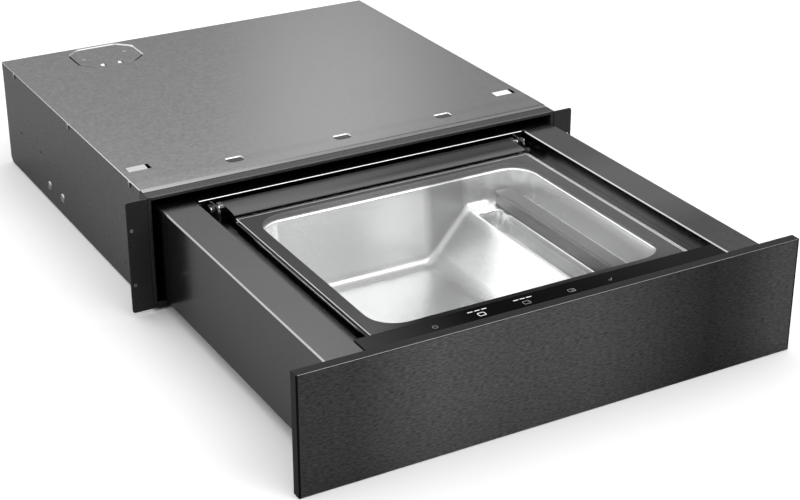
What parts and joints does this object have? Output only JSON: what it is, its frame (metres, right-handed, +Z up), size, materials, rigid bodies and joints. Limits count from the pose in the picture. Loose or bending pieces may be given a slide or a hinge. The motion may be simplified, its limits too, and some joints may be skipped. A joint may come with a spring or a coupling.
{
  "type": "built-in vacuum sealing drawer",
  "caption": "Built-in vacuum sealing drawer: sheet steel housing with screw ears, sliding drawer with touch strip, glass lid over a pressed chamber and a lifting sealing bar.",
  "frame": {"origin": "centre of the rest-pose bounding box in plan, at the level of the base pads' undersides", "axes": "+Z up, -Y towards the drawer front, +X to the right seen from the front"},
  "size_m": [0.594, 0.93, 0.1422],
  "materials": {
    "galvanised_cover": "galvanised sheet, fine spangle",
    "galvanised_side": "galvanised sheet, fine spangle",
    "galvanised_hidden": "galvanised sheet",
    "access_plate": "galvanised sheet",
    "frame_black": "satin black powder coat",
    "front_brushed": "dark brushed steel, horizontal grain",
    "front_inner": "galvanised sheet",
    "front_filler": "rigid foam filler",
    "box_graphite": "graphite satin paint",
    "deck_black": "satin black paint",
    "strip_glass": "black back-printed glass",
    "lid_glass": "tinted toughened glass with a printed border",
    "chamber_steel": "satin stainless steel, deep drawn",
    "rail_grey": "dark anodised",
    "bar_aluminium": "clear anodised",
    "bar_band": "woven non-stick tape over the heating wire",
    "piston_steel": "ground steel",
    "cylinder_alu": "turned",
    "gasket_rubber": "soft black silicone",
    "pad_rubber": "black rubber",
    "buffer_rubber": "soft black rubber",
    "hose_rubber": "black hose",
    "hinge_steel": "bright steel",
    "hinge_black": "satin black",
    "bush_plastic": "black plain bearing",
    "damper_plastic": "black damper housing",
    "screw_zinc": "bright zinc",
    "rivet_zinc": "bright zinc",
    "runner_zinc": "bright zinc plated",
    "bracket_zinc": "galvanised sheet",
    "latch_plastic": "black",
    "plunger_plastic": "light grey",
    "inlet_plastic": "black",
    "terminal_plastic": "natural polyamide",
    "pump_alu": "cast aluminium",
    "motor_paint": "dark painted finned case",
    "fan_plastic": "black",
    "feet_steel": "black plate on rubber feet",
    "valve_paint": "block with coil cases",
    "coil_steel": "laminated core with wound coil",
    "board_green": "circuit board",
    "board_small": "circuit board",
    "carrier_plastic": "black"
  },
  "bodies": {
    "housing": {"base_pan": "galvanised_hidden", "base_pads": "pad_rubber", "left_side_panel": "galvanised_side", "right_side_panel": "galvanised_side", "side_rivets": "rivet_zinc", "top_cover": "galvanised_cover", "terminal_cover": "access_plate", "rear_panel": "galvanised_hidden", "mains_inlet": "inlet_plastic", "terminal_block": "terminal_plastic", "housing_screws": "screw_zinc", "frame_top_rail": "frame_black", "frame_bottom_rail": "frame_black", "frame_left_post": "frame_black", "frame_right_post": "frame_black", "left_ear": "frame_black", "right_ear": "frame_black", "runner_brackets": "bracket_zinc", "latch_body": "latch_plastic", "runner_outers": "runner_zinc"},
    "drawer": {"front_skin": "front_brushed", "front_core": "front_filler", "front_back_plate": "front_inner", "front_brackets": "galvanised_hidden", "front_buffers": "buffer_rubber", "left_side_box": "box_graphite", "right_side_box": "box_graphite", "drawer_tray": "galvanised_hidden", "drawer_rear_wall": "galvanised_hidden", "latch_striker": "screw_zinc", "deck_plate": "deck_black", "rear_cover_plate": "deck_black", "control_glass": "strip_glass", "control_carrier": "carrier_plastic", "control_board": "board_small", "chamber": "chamber_steel", "chamber_gasket": "gasket_rubber", "bar_cylinders": "cylinder_alu", "hinge_brackets": "hinge_black", "hinge_bushes": "bush_plastic", "hinge_dampers": "damper_plastic", "hinge_screws": "screw_zinc", "vacuum_pump": "pump_alu", "pump_motor": "motor_paint", "pump_feet": "feet_steel", "valve_block": "valve_paint", "vacuum_hose": "hose_rubber", "transformer": "coil_steel", "power_board": "board_green", "runner_inners": "runner_zinc"},
    "runner_mid": {"runner_middles": "runner_zinc"},
    "lid": {"lid_glass": "lid_glass", "lid_rear_rail": "rail_grey", "hinge_pins": "hinge_steel"},
    "bar": {"sealing_bar": "bar_aluminium", "heating_band": "bar_band", "bar_pistons": "piston_steel"},
    "fan": {"pump_fan": "fan_plastic"},
    "plunger": {"latch_plunger": "plunger_plastic"}
  },
  "joints": [
    {"name": "drawer_slide", "type": "slide", "parent": "housing", "child": "drawer", "axis": [0, -1, 0], "range_m": [-0.41, 0]},
    {"name": "runner_mid_slide", "type": "slide", "parent": "housing", "child": "runner_mid", "axis": [0, -1, 0], "range_m": [-0.205, 0]},
    {"name": "lid_hinge", "type": "hinge", "parent": "drawer", "child": "lid", "pos_m": [0, -0.0695, 0.1235], "axis": [-1, 0, 0], "range_deg": [0, 65]},
    {"name": "bar_lift", "type": "slide", "parent": "drawer", "child": "bar", "axis": [0, 0, 1], "range_m": [0, 0.024]},
    {"name": "fan_spin", "type": "hinge", "parent": "drawer", "child": "fan", "pos_m": [0.093, -0.041, 0.064], "axis": [1, 0, 0], "continuous": true},
    {"name": "latch_press", "type": "slide", "parent": "housing", "child": "plunger", "axis": [0, 1, 0], "range_m": [0, 0.003], "stiffness_N_per_m": 900, "springref_m": -0.004}
  ],
  "couplings": [
    {"joint": "runner_mid_slide", "follows": "drawer_slide", "ratio": 0.5}
  ]
}
